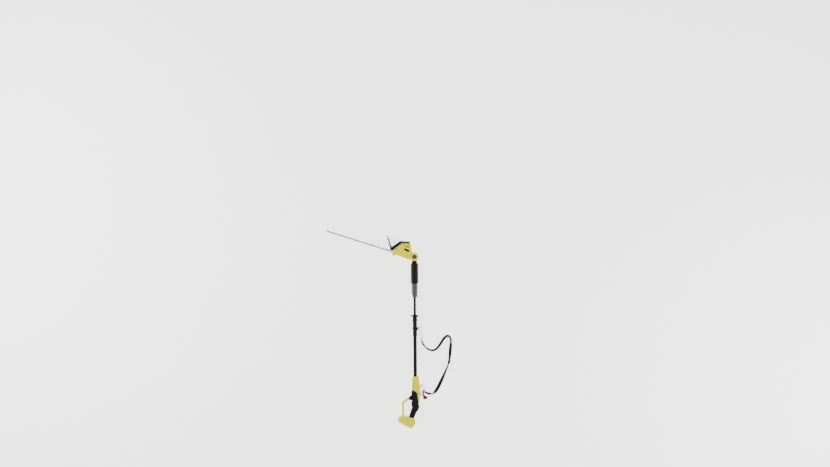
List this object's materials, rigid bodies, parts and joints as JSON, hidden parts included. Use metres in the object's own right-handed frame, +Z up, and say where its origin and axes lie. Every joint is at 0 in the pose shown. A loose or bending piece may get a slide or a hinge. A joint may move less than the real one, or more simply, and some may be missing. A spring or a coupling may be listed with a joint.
{
  "type": "hedge trimmer",
  "caption": "Battery pole hedge trimmer with a telescopic pole, tilting head, double-sided blades, guarded rear grip and a carrying strap.",
  "frame": {"origin": "centre of the battery foot's flat side, on the surface the trimmer lies on", "axes": "+Y along the pole towards the cutting head, +Z up from the surface, +X to the right; the pole axis is at x 0.062, z 0.040"},
  "size_m": [0.9407, 1.4939, 0.08],
  "materials": {
    "yellow_shell": "moulded, satin",
    "soft_grip": "soft touch",
    "black_plastic": "moulded, fine grain",
    "grey_plastic": "moulded, fine grain",
    "bush_plastic": "natural acetal",
    "black_tube": "powder coat",
    "steel": "bright zinc",
    "gear_steel": "hobbed",
    "blade_steel": "ground",
    "gear_alloy": "die cast",
    "contact_brass": "bright",
    "cable_rubber": "smooth",
    "webbing": "woven",
    "red_plastic": "moulded",
    "badge_plastic": "moulded"
  },
  "bodies": {
    "handle": {"handle_shell_left": "yellow_shell", "handle_shell_right": "yellow_shell", "grip_left": "soft_grip", "grip_right": "soft_grip", "hand_guard": "yellow_shell", "battery_bay": "yellow_shell", "handle_base": "yellow_shell", "terminal_block": "black_plastic", "contact_blades": "contact_brass", "control_pins": "steel", "switch_unit": "black_plastic", "handle_screws": "steel", "battery_leads": "cable_rubber", "coiled_lead": "cable_rubber", "lower_tube": "black_tube", "lower_bush": "bush_plastic", "front_grip": "soft_grip", "front_eyelet": "black_plastic", "handle_eyelet": "black_plastic", "strap_webbing": "webbing", "strap_slider": "black_plastic", "upper_carabiner": "steel", "lower_carabiner": "steel", "quick_release": "red_plastic"},
    "trigger": {"trigger": "black_plastic"},
    "lockoff": {"lockoff_lever": "black_plastic"},
    "lower_lock": {"lower_lock_ring": "black_plastic"},
    "middle_section": {"middle_tube": "black_tube", "middle_foot_bush": "bush_plastic", "middle_bush": "bush_plastic", "upper_lock_base": "black_plastic"},
    "upper_lock": {"upper_lock_collar": "black_plastic"},
    "top_section": {"top_tube": "black_tube", "top_foot_bush": "bush_plastic", "socket": "grey_plastic", "socket_screw": "steel", "coupling_plug": "black_plastic", "plug_pins": "contact_brass", "knuckle": "black_plastic", "pivot_bolt": "steel"},
    "union_nut": {"union_nut": "black_plastic"},
    "head": {"head_shell_left": "yellow_shell", "head_shell_right": "yellow_shell", "badge_plate": "badge_plastic", "head_screws": "steel", "top_guard": "black_plastic", "deflector_plate": "black_plastic", "gearbox_plate": "gear_alloy", "gearbox_base": "gear_alloy", "gear_pin": "steel", "motor_can": "steel", "guide_bar": "blade_steel", "blade_bolts": "steel"},
    "tilt_button": {"tilt_button": "grey_plastic"},
    "rotor": {"rotor": "steel"},
    "drive_gear": {"drive_gear": "gear_steel"},
    "upper_blade": {"upper_blade": "blade_steel"},
    "lower_blade": {"lower_blade": "blade_steel"},
    "upper_gate": {"upper_carabiner_gate": "steel"},
    "lower_gate": {"lower_carabiner_gate": "steel"}
  },
  "joints": [
    {"name": "trigger_pull", "type": "hinge", "parent": "handle", "child": "trigger", "pos_m": [0.047, 0.155, 0.04], "axis": [0, 0, 1], "range_deg": [0, 7], "stiffness_Nm_per_rad": 0.4},
    {"name": "lockoff_press", "type": "hinge", "parent": "handle", "child": "lockoff", "pos_m": [0.076, 0.128, 0.04], "axis": [0, 0, -1], "range_deg": [0, 5], "stiffness_Nm_per_rad": 0.3},
    {"name": "lower_lock_turn", "type": "hinge", "parent": "handle", "child": "lower_lock", "pos_m": [0.062, 0.778, 0.04], "axis": [0, 1, 0], "range_deg": [0, 60]},
    {"name": "middle_extend", "type": "slide", "parent": "handle", "child": "middle_section", "axis": [0, 1, 0], "range_m": [0, 0.455]},
    {"name": "upper_lock_turn", "type": "hinge", "parent": "middle_section", "child": "upper_lock", "pos_m": [0.062, 0.8, 0.04], "axis": [0, 1, 0], "range_deg": [0, 60]},
    {"name": "top_extend", "type": "slide", "parent": "middle_section", "child": "top_section", "axis": [0, 1, 0], "range_m": [0, 0.455]},
    {"name": "nut_turn", "type": "hinge", "parent": "top_section", "child": "union_nut", "pos_m": [0.062, 1.116, 0.04], "axis": [0, 1, 0], "range_deg": [0, 60]},
    {"name": "head_tilt", "type": "hinge", "parent": "top_section", "child": "head", "pos_m": [0.062, 1.245, 0.04], "axis": [0, 0, -1], "range_deg": [0, 72]},
    {"name": "tilt_button_press", "type": "slide", "parent": "head", "child": "tilt_button", "axis": [0, 0, -1], "range_m": [0, 0.004], "stiffness_N_per_m": 1500},
    {"name": "rotor_spin", "type": "hinge", "parent": "head", "child": "rotor", "pos_m": [-0.01884, 1.27127, 0.04], "axis": [0.309, 0.9511, 0], "continuous": true},
    {"name": "gear_spin", "type": "hinge", "parent": "head", "child": "drive_gear", "pos_m": [-0.05213, 1.28208, 0.04], "axis": [0.309, 0.9511, 0], "continuous": true},
    {"name": "upper_blade_slide", "type": "slide", "parent": "head", "child": "upper_blade", "axis": [-0.9511, 0.309, 0], "range_m": [-0.0045, 0.0045]},
    {"name": "lower_blade_slide", "type": "slide", "parent": "head", "child": "lower_blade", "axis": [-0.9511, 0.309, 0], "range_m": [-0.0045, 0.0045]},
    {"name": "upper_gate_open", "type": "hinge", "parent": "handle", "child": "upper_gate", "pos_m": [0.11639, 0.64096, 0.02327], "axis": [0.0263, -0.2368, 0.9712], "range_deg": [0, 4], "stiffness_Nm_per_rad": 0.05},
    {"name": "lower_gate_open", "type": "hinge", "parent": "handle", "child": "lower_gate", "pos_m": [0.12767, 0.25096, 0.02874], "axis": [0.1482, -0.3904, 0.9086], "range_deg": [0, 8], "stiffness_Nm_per_rad": 0.05}
  ],
  "couplings": [
    {"joint": "gear_spin", "follows": "rotor_spin", "ratio": -0.25},
    {"joint": "lower_blade_slide", "follows": "upper_blade_slide", "ratio": -1}
  ]
}
